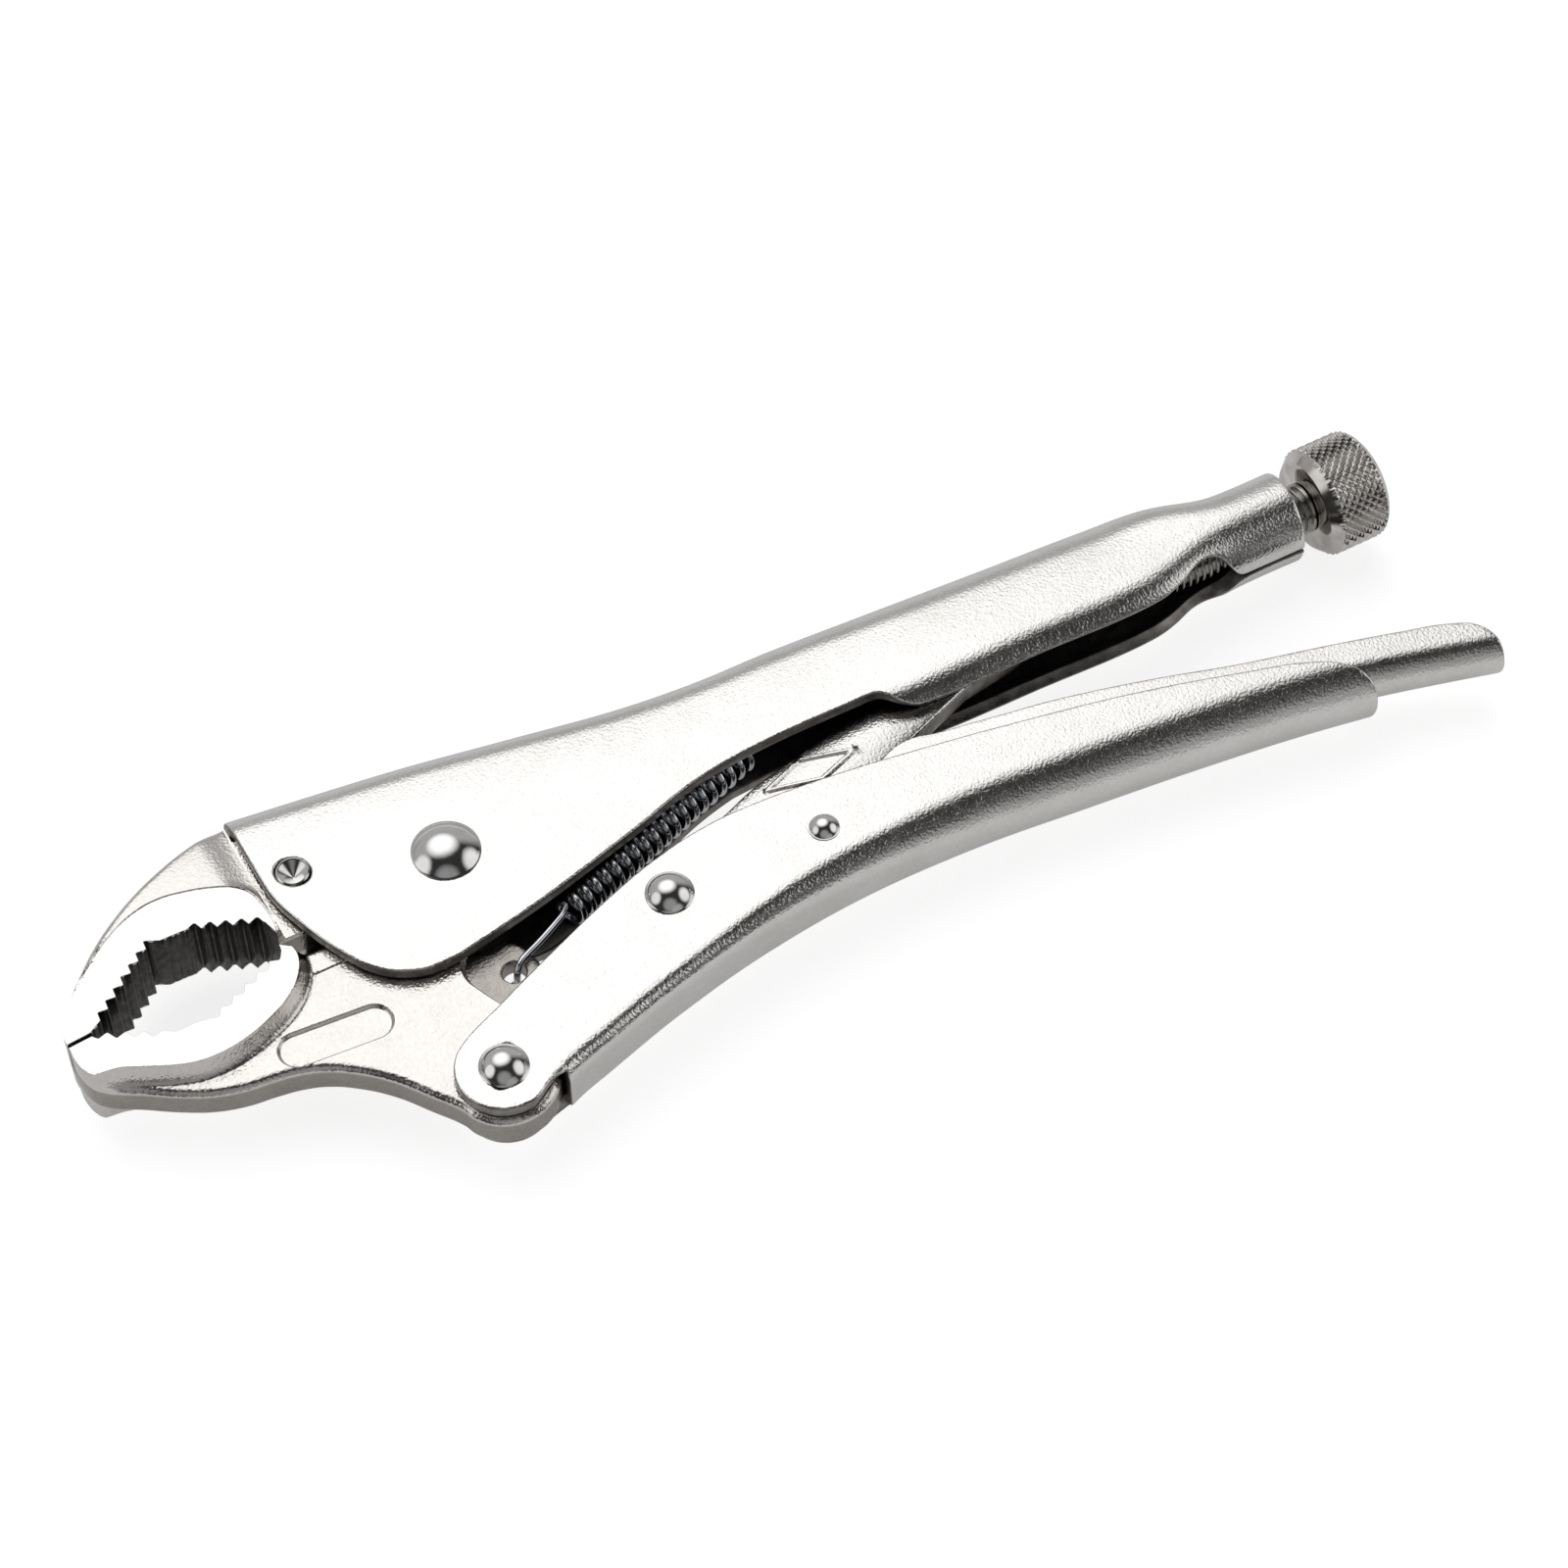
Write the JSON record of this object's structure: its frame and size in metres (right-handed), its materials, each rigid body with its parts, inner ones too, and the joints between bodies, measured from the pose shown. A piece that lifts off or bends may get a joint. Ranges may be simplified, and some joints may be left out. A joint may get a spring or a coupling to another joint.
{
  "type": "locking pliers",
  "caption": "Curved-jaw locking pliers with channel handles, toggle link, release lever, tension spring and knurled adjusting screw.",
  "frame": {"origin": "middle of the footprint, on the ground under the tool, which lies on its side", "axes": "+X along the adjusting screw towards the knob, +Y towards the fixed handle's back, +Z across the plates"},
  "size_m": [0.2578, 0.079, 0.021],
  "materials": {
    "satin_nickel": "satin nickel plate over a fine blasted grain",
    "ground_steel": "nickel-plated forging with ground flanks",
    "polished_rivets": "polished",
    "dark_steel": "nickel-plated knurl and thread",
    "spring_steel": "black oxide, shiny"
  },
  "bodies": {
    "fixed_handle": {"fixed_handle": "satin_nickel", "upper_jaw": "ground_steel", "jaw_stake_pin": "polished_rivets", "jaw_pivot_rivet": "polished_rivets", "tension_spring": "spring_steel"},
    "lower_jaw": {"lower_jaw": "ground_steel"},
    "moving_handle": {"moving_handle": "satin_nickel", "lower_jaw_rivet": "polished_rivets", "toggle_rivet": "polished_rivets", "release_lever_rivet": "polished_rivets"},
    "toggle_link": {"toggle_link": "satin_nickel"},
    "release_lever": {"release_lever": "satin_nickel"},
    "adjusting_screw": {"adjusting_screw": "dark_steel"},
    "adjusting_knob": {"adjusting_knob": "dark_steel"}
  },
  "joints": [
    {"name": "jaw_pivot", "type": "hinge", "parent": "fixed_handle", "child": "lower_jaw", "pos_m": [-0.05694, 0.01252, 0.0105], "axis": [0, 0, 1], "range_deg": [0, 16], "deforming": ["tension_spring"]},
    {"name": "handle_pivot", "type": "hinge", "parent": "lower_jaw", "child": "moving_handle", "pos_m": [-0.06744, -0.03048, 0.0105], "axis": [0, 0, 1], "range_deg": [-54, 0]},
    {"name": "link_pivot", "type": "hinge", "parent": "moving_handle", "child": "toggle_link", "pos_m": [-0.02764, -0.01368, 0.0105], "axis": [0, 0, 1], "range_deg": [0, 61]},
    {"name": "release_pivot", "type": "hinge", "parent": "moving_handle", "child": "release_lever", "pos_m": [0.00156, -0.01508, 0.0105], "axis": [0, 0, 1], "range_deg": [0, 6]},
    {"name": "screw_travel", "type": "slide", "parent": "fixed_handle", "child": "adjusting_screw", "axis": [1, 0, 0], "range_m": [0, 0.018]},
    {"name": "knob_turn", "type": "hinge", "parent": "adjusting_screw", "child": "adjusting_knob", "pos_m": [0.11586, 0.00852, 0.0105], "axis": [1, 0, 0], "range_deg": [0, 4320]}
  ],
  "couplings": [
    {"joint": "jaw_pivot", "follows": "handle_pivot", "ratio": -0.296},
    {"joint": "link_pivot", "follows": "handle_pivot", "ratio": -1.1296},
    {"joint": "knob_turn", "follows": "screw_travel", "rad_per_m": 4188.8}
  ]
}
